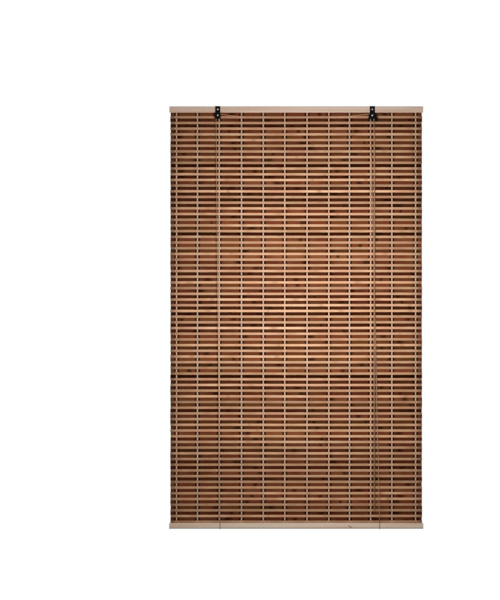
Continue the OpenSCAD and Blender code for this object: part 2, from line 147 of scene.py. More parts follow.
class Shader:
    """A material under construction, with short calls for the nodes that the finishes share."""

    def __init__(self, name: str) -> None:
        """Starts a material with a plain Principled surface.

        Args:
            name: Name of the material.
        """
        self.material = bpy.data.materials.new(name)
        self.material.use_nodes = True
        self.nodes = self.material.node_tree.nodes
        self.links = self.material.node_tree.links
        self.surface = self.nodes["Principled BSDF"]

    def set(self, **values: float) -> None:
        """Sets constant values on the surface, named as its sockets are, with _ for a space."""
        for name, value in values.items():
            self.surface.inputs[name.replace("_", " ")].default_value = value

    def feed(self, name: str, source: Socket) -> None:
        """Links a source to the surface's socket of that name."""
        self.links.new(source, self.surface.inputs[name])

    def mark(self, name: str) -> Socket:
        """Reads a value that a mesh keeps at its points.

        Args:
            name: Name of the value.

        Returns:
            The value.
        """
        node = self.nodes.new("ShaderNodeAttribute")
        node.attribute_name = name
        return node.outputs["Fac"]

    def point(self, scale: Point, shift: Socket | None = None) -> Socket:
        """Gives the place on the piece, stretched for a texture.

        Args:
            scale: Factor along X, Y and Z.
            shift: Value that moves the place on, so that pieces of one mesh differ.

        Returns:
            The stretched place.
        """
        place = self.nodes.new("ShaderNodeTexCoord").outputs["Object"]
        stretch = self.nodes.new("ShaderNodeVectorMath")
        stretch.operation = "MULTIPLY"
        stretch.inputs[1].default_value = scale
        self.links.new(place, stretch.inputs[0])
        if shift is None:
            return stretch.outputs["Vector"]
        moved = self.nodes.new("ShaderNodeVectorMath")
        moved.operation = "ADD"
        self.links.new(stretch.outputs["Vector"], moved.inputs[0])
        self.links.new(self.math("MULTIPLY", shift, SEED_STRIDE), moved.inputs[1])
        return moved.outputs["Vector"]

    def noise(self, place: Socket, detail: float = 3.0, roughness: float = 0.55) -> Socket:
        """Gives a soft noise at a stretched place.

        Args:
            place: Where to look it up.
            detail: Number of finer layers.
            roughness: How much the finer layers count.

        Returns:
            The noise, from 0 to 1.
        """
        node = self.nodes.new("ShaderNodeTexNoise")
        node.inputs["Scale"].default_value = 1.0
        node.inputs["Detail"].default_value = detail
        node.inputs["Roughness"].default_value = roughness
        self.links.new(place, node.inputs["Vector"])
        return node.outputs["Fac"]

    def math(self, operation: str, a: Socket, b: Socket | float) -> Socket:
        """Joins two values by one of the Math node's operations.

        Args:
            operation: Name of the operation.
            a: First value.
            b: Second value, from a node or plain.

        Returns:
            The result.
        """
        node = self.nodes.new("ShaderNodeMath")
        node.operation = operation
        self.links.new(a, node.inputs[0])
        if isinstance(b, (int, float)):
            node.inputs[1].default_value = b
        else:
            self.links.new(b, node.inputs[1])
        return node.outputs["Value"]

    def spread(self, value: Socket, low: float, high: float, start: float = 0.0, end: float = 1.0) -> Socket:
        """Maps a value's range onto another one.

        Args:
            value: The value.
            low: Result at start.
            high: Result at end.
            start: Value that gives low.
            end: Value that gives high.

        Returns:
            The mapped value, kept between low and high.
        """
        node = self.nodes.new("ShaderNodeMapRange")
        for name, number in (("From Min", start), ("From Max", end), ("To Min", low), ("To Max", high)):
            node.inputs[name].default_value = number
        self.links.new(value, node.inputs["Value"])
        return node.outputs["Result"]

    def ramp(self, value: Socket, colours: Sequence[Colour]) -> Socket:
        """Runs through colours at even steps as a value goes from 0 to 1.

        Args:
            value: The value.
            colours: The colours in order.

        Returns:
            The colour.
        """
        node = self.nodes.new("ShaderNodeValToRGB")
        stops = node.color_ramp.elements
        while len(stops) < len(colours):
            stops.new(0.5)
        for i, colour in enumerate(colours):
            stops[i].position = i / (len(colours) - 1)
            stops[i].color = colour
        self.links.new(value, node.inputs["Fac"])
        return node.outputs["Color"]

    def height(self) -> Socket:
        """Looks up the height of the place on the piece.

        Returns:
            The height, in metres.
        """
        place = self.nodes.new("ShaderNodeTexCoord").outputs["Object"]
        split = self.nodes.new("ShaderNodeSeparateXYZ")
        self.links.new(place, split.inputs["Vector"])
        return split.outputs["Z"]

    def tinted(self, colour: Socket, tint: Socket) -> Socket:
        """Multiplies two colours.

        Args:
            colour: The colour.
            tint: The colour that it is multiplied by.

        Returns:
            The product.
        """
        node = self.nodes.new("ShaderNodeVectorMath")
        node.operation = "MULTIPLY"
        self.links.new(colour, node.inputs[0])
        self.links.new(tint, node.inputs[1])
        return node.outputs["Vector"]

    def scaled(self, colour: Socket, factor: Socket) -> Socket:
        """Brightens or darkens a colour.

        Args:
            colour: The colour.
            factor: The factor on it.

        Returns:
            The new colour.
        """
        node = self.nodes.new("ShaderNodeVectorMath")
        node.operation = "SCALE"
        self.links.new(colour, node.inputs[0])
        self.links.new(factor, node.inputs["Scale"])
        return node.outputs["Vector"]

    def blended(self, share: Socket, under: Socket, over: Colour) -> Socket:
        """Lays a plain colour over another one.

        Args:
            share: How much of the upper colour shows, from 0 to 1.
            under: The lower colour.
            over: The upper colour.

        Returns:
            The mixed colour.
        """
        node = self.nodes.new("ShaderNodeMix")
        node.data_type = "RGBA"
        self.links.new(share, node.inputs["Factor"])
        self.links.new(under, node.inputs["A"])
        node.inputs["B"].default_value = over
        return node.outputs["Result"]

    def bump(self, height: Socket, distance: float, strength: float = 0.5) -> None:
        """Raises the surface by a height from 0 to 1.

        Args:
            height: The height.
            distance: Rise of a height of 1.
            strength: Share of the rise that shows.
        """
        node = self.nodes.new("ShaderNodeBump")
        node.inputs["Distance"].default_value = distance
        node.inputs["Strength"].default_value = strength
        self.links.new(height, node.inputs["Height"])
        self.feed("Normal", node.outputs["Normal"])


@dataclass(frozen=True)
class BambooFinish:
    """Split bamboo: each slat has its own tone, fibres along it, dark joints and painted shade beside the
    strings.
    """

    name: str
    tones: tuple[Colour, ...]
    joint_colour: Colour
    tuck_colour: Colour
    # Factors on the tones of the darkest and the palest slats
    deep: Colour
    pale: Colour
    fibre_depth: float
    patch_depth: float
    gloss: float
    tone_drift: float
    roughness: Pair = (0.47, 0.65)
    patch_scale: Point = (7.0, 40.0, 9.0)
    fibre_scale: Point = (14.0, 900.0, 1300.0)
    streak_scale: Point = (4.0, 260.0, 330.0)
    ragged_scale: Point = (60.0, 300.0, 420.0)
    # Part of the ragged noise that frays a joint, and how dark the joint is at its two ends
    ragged_part: Pair = (0.3, 0.6)
    ragged_share: Pair = (0.75, 1.0)
    fibre_rise: float = 0.12 * MM

    def make(self) -> bpy.types.Material:
        """Builds the material.

        Returns:
            The material.
        """
        shader = Shader(self.name)
        seed = shader.mark("seed")
        patches = shader.noise(shader.point(self.patch_scale, seed), detail=2.0)
        drift = shader.spread(patches, -self.tone_drift, self.tone_drift, *WIDE)
        fibres = shader.noise(shader.point(self.fibre_scale, seed), detail=4.0, roughness=0.65)
        streaks = shader.noise(shader.point(self.streak_scale, seed), detail=2.0)
        ragged = shader.noise(shader.point(self.ragged_scale, seed))
        colour = shader.ramp(shader.math("ADD", shader.mark("tone"), drift), self.tones)
        colour = shader.tinted(colour, shader.ramp(shader.mark("shade"), (self.deep, self.pale)))
        layers = ((fibres, self.fibre_depth), (streaks, self.fibre_depth), (patches, self.patch_depth))
        for lines, depth in layers:
            colour = shader.scaled(colour, shader.spread(lines, 1 - depth, 1 + depth, *WIDE))
        frayed = shader.spread(ragged, *self.ragged_share, *self.ragged_part)
        joint = shader.math("MULTIPLY", shader.mark("joint"), frayed)
        colour = shader.blended(joint, colour, self.joint_colour)
        # Painted shade beside the strings: a near-black laid over the dark slats
        colour = shader.blended(shader.mark("tuck"), colour, self.tuck_colour)
        shader.feed("Base Color", colour)
        shader.feed("Roughness", shader.spread(fibres, *self.roughness, *WIDE))
        shader.set(Specular_IOR_Level=self.gloss)
        shader.bump(fibres, self.fibre_rise)
        return shader.material


@dataclass(frozen=True)
class RailWoodFinish:
    """Pale planed wood with long grain, painted shade along one edge, and a short dark crack where crack_at
    is given.
    """

    name: str
    tones: tuple[Colour, ...]
    # Heights between which painted shade darkens the wood towards an edge, and the factor on its colour at
    # that edge
    edge_from: float
    edge_to: float
    painted_edge_shade: float
    ring_scale: Point = (2.2, 70.0, 120.0)
    broad_scale: Point = (3.0, 3.0, 20.0)
    pore_scale: Point = (26.0, 900.0, 1400.0)
    # What the rings and the broad patches add to the tone, and the factor of the pores on the colour
    ring_tone: Pair = (0.1, 0.8)
    broad_tone: Pair = (-0.2, 0.3)
    pore_shade: Pair = (0.92, 1.05)
    roughness: Pair = (0.62, 0.8)
    gloss: float = 0.25
    pore_rise: float = 0.1 * MM
    crack_at: Point | None = None
    crack_half: Point = (10.0 * MM, 20.0 * MM, 1.7 * MM)
    crack_slope_deg: float = 36.0
    crack_colour: Colour = screen(38, 26, 20)
    # Part of the way to its middle where the crack goes from clear to dark, and how dark it gets
    crack_fade: Pair = (0.05, 0.4)
    crack_share: float = 0.95

    def make(self) -> bpy.types.Material:
        """Builds the material.

        Returns:
            The material.
        """
        shader = Shader(self.name)
        rings = shader.noise(shader.point(self.ring_scale), detail=3.0)
        pores = shader.noise(shader.point(self.pore_scale), detail=4.0, roughness=0.7)
        broad = shader.noise(shader.point(self.broad_scale), detail=1.0)
        tone = shader.math("ADD", shader.spread(rings, *self.ring_tone, *NARROW),
                           shader.spread(broad, *self.broad_tone, *NARROW))
        colour = shader.scaled(shader.ramp(tone, self.tones), shader.spread(pores, *self.pore_shade, *NARROW))
        # Painted shade on the rounded edge, darkest at the edge itself
        edge = shader.spread(shader.height(), 1.0, self.painted_edge_shade, self.edge_from, self.edge_to)
        colour = shader.scaled(colour, edge)
        if self.crack_at is not None:
            colour = shader.blended(self.crack(shader), colour, self.crack_colour)
        shader.feed("Base Color", colour)
        shader.feed("Roughness", shader.spread(pores, *self.roughness, *NARROW))
        shader.set(Specular_IOR_Level=self.gloss)
        shader.bump(pores, self.pore_rise, strength=0.45)
        return shader.material

    def crack(self, shader: Shader) -> Socket:
        """Marks the crack.

        Args:
            shader: The material that gets the crack.

        Returns:
            A value that is 1 in the crack and 0 elsewhere.
        """
        place = shader.nodes.new("ShaderNodeTexCoord").outputs["Object"]
        fit = shader.nodes.new("ShaderNodeMapping")
        fit.vector_type = "TEXTURE"
        fit.inputs["Location"].default_value = self.crack_at
        fit.inputs["Rotation"].default_value = (0.0, math.radians(self.crack_slope_deg), 0.0)
        fit.inputs["Scale"].default_value = self.crack_half
        shader.links.new(place, fit.inputs["Vector"])
        ball = shader.nodes.new("ShaderNodeTexGradient")
        ball.gradient_type = "SPHERICAL"
        shader.links.new(fit.outputs["Vector"], ball.inputs["Vector"])
        return shader.spread(ball.outputs["Fac"], 0.0, self.crack_share, *self.crack_fade)


@dataclass(frozen=True)
class MetalFinish:
    """Metal, plated or painted, with fine unevenness from rolling and stamping."""

    name: str
    colour: Colour
    worn_colour: Colour
    metallic: float
    roughness: Pair
    grain: Point = (260.0, 260.0, 260.0)
    gloss: float = 0.5
    bump_depth: float = 0.02 * MM
    scuff_scale: Point = (55.0, 55.0, 90.0)
    scuff_part: Pair = (0.35, 0.85)

    def make(self) -> bpy.types.Material:
        """Builds the material.

        Returns:
            The material.
        """
        shader = Shader(self.name)
        fine = shader.noise(shader.point(self.grain), detail=4.0, roughness=0.6)
        scuffs = shader.noise(shader.point(self.scuff_scale), detail=5.0, roughness=0.7)
        wear = shader.spread(scuffs, 0.0, 1.0, *self.scuff_part)
        shader.feed("Base Color", shader.ramp(wear, (self.colour, self.worn_colour)))
        shader.feed("Roughness", shader.spread(fine, *self.roughness, *NARROW))
        shader.set(Metallic=self.metallic, Specular_IOR_Level=self.gloss)
        shader.bump(fine, self.bump_depth)
        return shader.material


@dataclass(frozen=True)
class PlasticFinish:
    """Moulded plastic with a faint mottle."""

    name: str
    colour: Colour
    faded_colour: Colour
    roughness: Pair
    mottle_scale: Point = (300.0, 300.0, 300.0)
    mottle_rise: float = 0.02 * MM

    def make(self) -> bpy.types.Material:
        """Builds the material.

        Returns:
            The material.
        """
        shader = Shader(self.name)
        mottle = shader.noise(shader.point(self.mottle_scale), detail=3.0)
        shader.feed("Base Color", shader.ramp(mottle, (self.colour, self.faded_colour)))
        shader.feed("Roughness", shader.spread(mottle, *self.roughness, *NARROW))
        shader.bump(mottle, self.mottle_rise, strength=0.4)
        return shader.material


@dataclass(frozen=True)
class YarnFinish:
    """Twisted yarn: light on the backs of the plies, painted shade in the grooves, and darker towards its low
    end.
    """

    name: str
    groove_shade_colour: Colour
    ply_colour: Colour
    fuzz: float = 0.12
    # Heights between which the yarn gets darker, and the factor on its colour below them
    darken_from: float = -0.1
    darken_to: float = -1.5
    low_end_factor: float = 1.0
    hair_scale: Point = (2600.0, 2600.0, 1700.0)
    hair_rise: float = 0.08 * MM
    drift_scale: Point = (24.0, 24.0, 24.0)
    drift_shade: Pair = (0.9, 1.08)
    roughness: float = 0.92
    gloss: float = 0.15

    def make(self) -> bpy.types.Material:
        """Builds the material.

        Returns:
            The material.
        """
        shader = Shader(self.name)
        hairs = shader.noise(shader.point(self.hair_scale), detail=3.0, roughness=0.7)
        drift = shader.noise(shader.point(self.drift_scale), detail=2.0)
        # Painted shade: where ply is low, in the grooves and where a strand sinks between slats, the yarn
        # takes the darker colour
        colour = shader.ramp(shader.mark("ply"), (self.groove_shade_colour, self.ply_colour))
        colour = shader.scaled(colour, shader.spread(hairs, 1 - self.fuzz, 1 + self.fuzz, *NARROW))
        colour = shader.scaled(colour, shader.spread(drift, *self.drift_shade, *NARROW))
        # The yarn gets darker towards its low end
        low_end_darkening = shader.spread(shader.height(), self.low_end_factor, 1.0, self.darken_to, self.darken_from)
        shader.feed("Base Color", shader.scaled(colour, low_end_darkening))
        shader.set(Roughness=self.roughness, Specular_IOR_Level=self.gloss)
        shader.bump(hairs, self.hair_rise, strength=0.6)
        return shader.material


DARK_BAMBOO = BambooFinish(
    "carbonised_bamboo",
    screens((95, 57, 27), (107, 60, 33), (102, 50, 29), (117, 69, 42), (88, 42, 23)),
    # After the joint colour comes the near-black of the painted shade beside the strings
    joint_colour=screen(30, 8, 3), tuck_colour=screen(26, 5, 1),
    deep=(0.24, 0.12, 0.07, 1.0), pale=(1.66, 1.74, 1.8, 1.0),
    fibre_depth=0.12, patch_depth=0.2, gloss=0.0, tone_drift=0.3)
LIGHT_BAMBOO = BambooFinish(
    "natural_bamboo",
    screens((211, 162, 121), (223, 176, 138), (213, 159, 125), (229, 184, 146), (206, 154, 120)),
    joint_colour=screen(200, 152, 114), tuck_colour=screen(200, 152, 114),
    deep=(0.7, 0.69, 0.68, 1.0), pale=(1.22, 1.23, 1.24, 1.0),
    fibre_depth=0.06, patch_depth=0.1, gloss=0.12, tone_drift=0.32)
# Painted shade on the headrail's top edge and on the bottom rail's lower edge
HEADRAIL_WOOD = RailWoodFinish(
    "headrail_wood", screens((222, 186, 160), (238, 210, 188), (246, 220, 202), (228, 199, 184)),
    edge_from=8.2 * MM, edge_to=9.8 * MM, painted_edge_shade=0.8)
BOTTOM_RAIL_WOOD = RailWoodFinish(
    "bottom_rail_wood", screens((250, 214, 188), (255, 231, 208), (255, 238, 219), (253, 224, 203)),
    edge_from=-1482.0 * MM, edge_to=-1485.6 * MM, painted_edge_shade=0.5,
    crack_at=(195.0 * MM, -16.0 * MM, -1479.5 * MM))
BLACK_STEEL = MetalFinish(
    "black_steel", *screens((5, 5, 6), (12, 12, 13)), metallic=0.0, roughness=(0.48, 0.65), gloss=0.05)
ZINC = MetalFinish(
    "zinc_plate", *screens((176, 176, 175), (140, 140, 142)), metallic=1.0, roughness=(0.27, 0.44))
CAM_STEEL = MetalFinish(
    "cam_steel", *screens((150, 150, 152), (118, 116, 114)), metallic=1.0, roughness=(0.29, 0.46),
    grain=(900.0, 60.0, 900.0))
WHEEL_PLASTIC = PlasticFinish("wheel_plastic", *screens((52, 52, 54), (70, 70, 72)), roughness=(0.39, 0.51))
# The first colour of each yarn is the painted shade in its grooves
CORD_COLOURS = screens((172, 132, 103), (222, 180, 146))
# The lift cords get darker where they loop under the bottom rail, the pull cords towards their low ends
LIFT_CORD_YARN = YarnFinish(
    "lift_cord_yarn", *CORD_COLOURS, darken_from=-1.43, darken_to=-1.47, low_end_factor=0.26)
PULL_CORD_YARN = YarnFinish(
    "pull_cord_yarn", *CORD_COLOURS, darken_from=-0.15, darken_to=-1.2, low_end_factor=0.6)
STRING_YARN = YarnFinish("warp_string_yarn", *screens((214, 168, 138), (245, 204, 174)), fuzz=0.08)


@dataclass
class MeshDraft:
    """The points, faces and marks of one mesh while it is being built."""

    name: str
    points: list[np.ndarray] = field(default_factory=list)
    faces: list[tuple[int, ...]] = field(default_factory=list)
    marks: dict[str, list[np.ndarray]] = field(default_factory=dict)
    count: int = 0

    def tube(self, rings: np.ndarray, **marks: np.ndarray) -> None:
        """Adds a closed tube through rings of points, with a flat cap at each end.

        Args:
            rings: Points, by ring, place in the ring and axis.
            marks: A value for each ring and place under each name.
        """
        ring_count, side_count = rings.shape[:2]
        start = self.count
        self.points.append(rings.reshape(-1, 3))
        for name, values in marks.items():
            self.marks.setdefault(name, []).append(np.broadcast_to(values, rings.shape[:2]).reshape(-1))
        for i in range(ring_count - 1):
            low = start + i * side_count
            for k in range(side_count):
                n = (k + 1) % side_count
                self.faces.append((low + k, low + n, low + side_count + n, low + side_count + k))
        last = start + (ring_count - 1) * side_count
        self.faces.append(tuple(range(start + side_count - 1, start - 1, -1)))
        self.faces.append(tuple(range(last, last + side_count)))
        self.count += ring_count * side_count

    def piece(self, material: bpy.types.Material) -> bpy.types.Object:
        """Makes the Blender object, with smooth walls and flat caps.

        Args:
            material: The finish of the piece.

        Returns:
            The new object, in the scene.
        """
        mesh = bpy.data.meshes.new(self.name)
        mesh.from_pydata(np.concatenate(self.points).tolist(), [], self.faces)
        form = bmesh.new()
        form.from_mesh(mesh)
        bmesh.ops.recalc_face_normals(form, faces=form.faces)
        form.to_mesh(mesh)
        form.free()
        mesh.polygons.foreach_set("use_smooth", [len(face) == 4 for face in self.faces])
        for name, parts in self.marks.items():
            layer = mesh.attributes.new(name, "FLOAT", "POINT")
            layer.data.foreach_set("value", np.concatenate(parts).astype(np.float32))
        mesh.materials.append(material)
        made = bpy.data.objects.new(self.name, mesh)
        bpy.context.scene.collection.objects.link(made)
        log.info("%s: %d faces", self.name, len(self.faces))
        return made


@dataclass(frozen=True)
class Slat:
    """The place of one slat in the mat: its middle height and depth, and its height."""

    kind: SlatKind
    z: float
    y: float
    height: float

    @property
    def top(self) -> float:
        """Height of the slat's upper edge."""
        return self.z + self.height / 2

    @property
    def bottom(self) -> float:
        """Height of the slat's lower edge."""
        return self.z - self.height / 2


@dataclass(frozen=True)
class StringPlan:
    """Where the warp strings stand along the mat: evenly spaced, but for how far each one strays."""

    span: float = 850.0 * MM
    stray_mm: tuple[float, ...] = (0, -3, -3, -1, -1, -2, 0, 0, -4, -6, -8, -1)

    def places(self, middle: float) -> list[float]:
        """Gives the strings' places along X.

        Args:
            middle: Middle of the mat.

        Returns:
            The places from left to right.
        """
        pitch = self.span / (len(self.stray_mm) - 1)
        return [middle - self.span / 2 + i * pitch + stray * MM for i, stray in enumerate(self.stray_mm)]


@dataclass(frozen=True)
class Wave:
    """A sine wave over the mat: its angle per metre along X and along Z, and its angle at the origin."""

    along: float
    down: float
    start: float

    def at(self, x: np.ndarray, z: float) -> np.ndarray:
        """Gives the wave at places along a slat of height z."""
        return np.sin(self.along * x + self.down * z + self.start)


@dataclass
class SlatMat:
    """The mat of dark and light bamboo slats between the rails."""

    rows: int = 72
    strings: StringPlan = StringPlan()
    dark_height: float = 12.0 * MM
    light_height: float = 8.2 * MM
    thickness: float = 1.6 * MM
    # Room between a light slat and the dark one below, how far they are apart in depth, and the mat's depth
    slack: float = 0.02 * MM
    stagger: float = 0.4 * MM
    standoff: float = 6.0 * MM
    # Even rings along a slat, to which its joints and the painted shade beside the strings add theirs, and
    # how much shorter an end may be
    base_rings: int = 20
    end_trim: float = 1.6 * MM
    # How far the slats sway up or down: the most, and the two waves that share it out
    sway: float = 0.35 * MM
    sway_waves: tuple[Wave, Wave] = (Wave(7.1, 5.3, 0.0), Wave(3.2, -4.1, 0.8))
    # A slat's share of the thickness, how far it varies along the slat, and the angle of that per metre
    belly: float = 0.96
    belly_swing: float = 0.048
    belly_turn: float = 9.0
    # Both exponents of the draw that makes a slat darker or paler
    shade_draw: float = 1.7
    # A joint: its rise, how much fainter it is at the slat's edges, and the places of its rings
    joint_rise: float = 0.14 * MM
    joint_taper: float = 0.3
    joint_spacing: Pair = (180.0 * MM, 350.0 * MM)
    joint_half_width: Pair = (7.0 * MM, 24.0 * MM)
    joint_shares: tuple[float, ...] = (-1.0, -0.6, -0.3, 0.0, 0.3, 0.6, 1.0)
    # How far the slats overlap, so that no light shows between them
    overlap: float = 0.06 * MM
    # Where a dark slat gets painted shade beside a string: distances from its middle, and the share of the
    # painted shade there
    tuck_reach: Pair = (7.2 * MM, 10.4 * MM)
    tuck_share: Pair = (0.85, 0.0)
    # Shape of a slat's section: shares of its half thickness and of its half height
    section: tuple[Pair, ...] = (
        (-0.62, 1.0), (-0.93, 0.86), (-1.0, 0.4), (-1.0, -0.4), (-0.93, -0.86), (-0.62, -1.0),
        (0.62, -1.0), (0.93, -0.86), (1.0, -0.4), (1.0, 0.4), (0.93, 0.86), (0.62, 1.0))
    seed: int = 7

    def __post_init__(self) -> None:
        """Works the places of the slats out from the frame."""
        low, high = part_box("light_slats")
        self.left, self.right = low.x, high.x
        self.high_z = high.z
        self.string_places = self.strings.places((low.x + high.x) / 2)
        ends = self.dark_height + self.light_height + self.slack
        self.pitch = (high.z - low.z - ends) / self.rows
        self.top_z = high.z - self.light_height - self.slack
        self.slats = sorted(
            [slat for row in range(self.rows + 1) for slat in self.row(row)], key=lambda slat: -slat.z)
        self.foot_z = self.slats[-1].top

    def row(self, index: int) -> list[Slat]:
        """Gives the two slats of a row.

        Args:
            index: Number of the row, from 0 at the top.

        Returns:
            The light slat and the dark one below it.
        """
        light_z = self.high_z - index * self.pitch - self.light_height / 2
        dark_z = self.top_z - index * self.pitch - self.dark_height / 2
        return [Slat(SlatKind.LIGHT, light_z, -self.standoff - self.stagger / 2, self.light_height),
                Slat(SlatKind.DARK, dark_z, -self.standoff + self.stagger / 2, self.dark_height)]

    def lean(self, x: np.ndarray, z: float) -> np.ndarray:
        """How far the slats sway up or down along their length, alike for neighbours.

        Args:
            x: Places along the slat.
            z: Height of the slat.

        Returns:
            The sway at each place.
        """
        first, second = self.sway_waves
        return self.sway * first.at(x, z) * second.at(x, z)

    def joints(self, draw: np.random.Generator) -> list[Pair]:
        """Chooses the bamboo's joints along one slat.

        Args:
            draw: Source of the choices.

        Returns:
            The place and half width of each joint.
        """
        found = []
        margin = self.joint_half_width[1]
        x = self.left + draw.uniform(0, self.joint_spacing[1])
        while x < self.right - margin:
            if x > self.left + margin:
                found.append((x, draw.uniform(*self.joint_half_width)))
            x += draw.uniform(*self.joint_spacing)
        return found

    def tucks(self, x: np.ndarray, slat: Slat) -> np.ndarray:
        """Gives the painted shade beside the strings, which only the dark slats have.

        Args:
            x: Places along the slat.
            slat: The slat.

        Returns:
            The share of the shade at each place.
        """
        if slat.kind is SlatKind.LIGHT:
            return np.zeros_like(x)
        nearest = np.abs(x[:, None] - np.array(self.string_places)).min(axis=1)
        return np.interp(nearest, self.tuck_reach, self.tuck_share)

    def rings_along(self, slat: Slat, joints: list[Pair], draw: np.random.Generator) -> np.ndarray:
        """Chooses the places of a slat's rings: evenly, and closer at its joints and beside the strings.

        Args:
            slat: The slat.
            joints: Its joints.
            draw: Source of the slat's length.

        Returns:
            The places in order.
        """
        left = self.left + draw.uniform(0, self.end_trim)
        right = self.right - draw.uniform(0, self.end_trim)
        places = [x + half * share for x, half in joints for share in self.joint_shares]
        if slat.kind is SlatKind.DARK:
            reaches = [way * reach for reach in self.tuck_reach for way in (-1, 1)]
            places += [x + reach for x in self.string_places for reach in reaches]
        return np.unique(np.clip([*np.linspace(left, right, self.base_rings), *places], left, right))

    def add(self, draft: MeshDraft, slat: Slat, draw: np.random.Generator) -> None:
        """Adds one slat to a mesh.

        Args:
            draft: The mesh.
            slat: Place of the slat.
            draw: Source of its small differences.
        """
        joints = self.joints(draw)
        x = self.rings_along(slat, joints, draw)
        joint = np.zeros_like(x)
        for place, half in joints:
            away = np.clip(np.abs(x - place) / half, 0, 1)
            joint = np.maximum(joint, (1 + np.cos(math.pi * away)) / 2)
        across, up = np.array(self.section).T
        wave = self.belly + self.belly_swing * np.sin(self.belly_turn * x + draw.uniform(0, 2 * math.pi))
        depth = self.thickness / 2 * wave + self.joint_rise / 2 * joint
        rings = np.empty((len(x), len(up), 3))
        rings[:, :, 0] = x[:, None]
        rings[:, :, 1] = slat.y + across * depth[:, None]
        rings[:, :, 2] = slat.z + up * (slat.height / 2 + self.overlap) + self.lean(x, slat.z)[:, None]
        tone = draw.uniform(0, 1)
        shade = draw.beta(self.shade_draw, self.shade_draw)
        seed = draw.uniform(0, 1)
        draft.tube(rings, joint=joint[:, None] * (1 - self.joint_taper * np.abs(up)), tone=np.array(tone),
                   shade=np.array(shade), seed=np.array(seed), tuck=self.tucks(x, slat)[:, None])

    def build(self) -> list[bpy.types.Object]:
        """Builds the dark and the light slats, and the two that are nailed to the rails and stay with them.

        Returns:
            The four pieces.
        """
        first, *_, last = self.slats
        nailed = {first: ("head_slat", Body.HEADRAIL), last: ("foot_slat", Body.BOTTOM_RAIL)}
        made = []
        for i, (kind, finish) in enumerate(((SlatKind.DARK, DARK_BAMBOO), (SlatKind.LIGHT, LIGHT_BAMBOO))):
            draw = np.random.default_rng(self.seed + i)
            material = finish.make()
            draft = MeshDraft(f"{kind.value}_bamboo_slats")
            for slat in (slat for slat in self.slats if slat.kind is kind):
                if slat not in nailed:
                    self.add(draft, slat, draw)
                    continue
                name, body = nailed[slat]
                single = MeshDraft(name)
                self.add(single, slat, draw)
                made.append(single.piece(material))
                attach(made[-1], body.value)
            made.append(draft.piece(material))
            gather(made[-1])
            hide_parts(f"{kind.value}_slats")
        return made


def gather(piece: bpy.types.Object) -> None:
    """Hangs a piece from the headrail and gives it a mesh of its own.

    Args:
        piece: The finished mesh.
    """
    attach(piece, Body.HEADRAIL.value)
    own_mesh(piece)


@dataclass
class WarpStrings:
    """The cotton strings that bind the slats: pairs of strands, in front of the mat and behind it."""

    mat: SlatMat
    half_width: float = 1.1 * MM
    half_depth: float = 0.5 * MM
    # Share of a strand's half depth that stands off the slat
    seat: float = 0.8
    # How far a strand stands from the middle of its pair: over dark slats, over light ones and between them
    dark_gap: float = 0.95 * MM
    light_gap: float = 3.3 * MM
    pinch_gap: float = 1.4 * MM
    # Between two slats: how far a strand sinks in, and the share of its size that is left
    pinch_depth: float = 0.35 * MM
    pinch_size: float = 0.78
    # Where a strand lies full on a slat, as a share of the slat's height from its middle
    crown_at: float = 0.28
    # How much further apart a pair ends at the foot of the mat
    fork: float = 2.8 * MM
    sides: int = 7

    def line(self, face: int) -> np.ndarray:
        """Follows the faces of the slats from the top of the mat to its end.

        Args:
            face: -1 in front of the mat and 1 behind it.

        Returns:
            Rows of the gap, depth, height, and share of the strand's full size.
        """
        rows = []
        for slat in self.mat.slats:
            crown = slat.y + face * (self.mat.thickness / 2 + self.half_depth * self.seat)
            gap = self.light_gap if slat.kind is SlatKind.LIGHT else self.dark_gap
            rows.append((self.pinch_gap, crown - face * self.pinch_depth, slat.top, self.pinch_size))
            rows += [(gap, crown, slat.z + way * self.crown_at * slat.height, 1.0) for way in (1, -1)]
        last = self.mat.slats[-1]
        rows.append((self.pinch_gap, rows[-1][1] - face * self.pinch_depth, last.bottom, self.pinch_size))
        return np.array(rows)

    def strand(self, draft: MeshDraft, x: np.ndarray, line: np.ndarray) -> None:
        """Adds one strand to a mesh.

        Args:
            draft: The mesh.
            x: Place of the strand along X at each row of the line.
            line: Rows as line() gives them.
        """
        turn = np.arange(self.sides) * 2 * math.pi / self.sides
        size = line[:, 3][:, None]
        rings = np.empty((len(line), self.sides, 3))
        rings[:, :, 0] = x[:, None] + np.cos(turn) * self.half_width * size
        rings[:, :, 1] = line[:, 1][:, None] + np.sin(turn) * self.half_depth * size
        rings[:, :, 2] = line[:, 2][:, None]
        # A strand pinched between two slats gets ply 0, and with it the painted groove shade
        draft.tube(rings, ply=(size - self.pinch_size) / (1 - self.pinch_size))

    def build(self) -> list[bpy.types.Object]:
        """Builds the front and the back runs.

        Returns:
            The two pieces.
        """
        material = STRING_YARN.make()
        made = []
        end = self.mat.slats[-2]
        for face, side, carrier in ((-1, "front", "light_slats"), (1, "back", "dark_slats")):
            draft = MeshDraft(f"{side}_warp_strings")
            line = self.line(face)
            apart = line[:, 0] + self.fork * np.clip((end.top - line[:, 2]) / end.height, 0, 1)
            for x in self.mat.string_places:
                for way in (-1, 1):
                    self.strand(draft, x + way * apart, line)
            piece = draft.piece(material)
            gather(piece)
            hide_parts(carrier)
            made.append(piece)
        return made


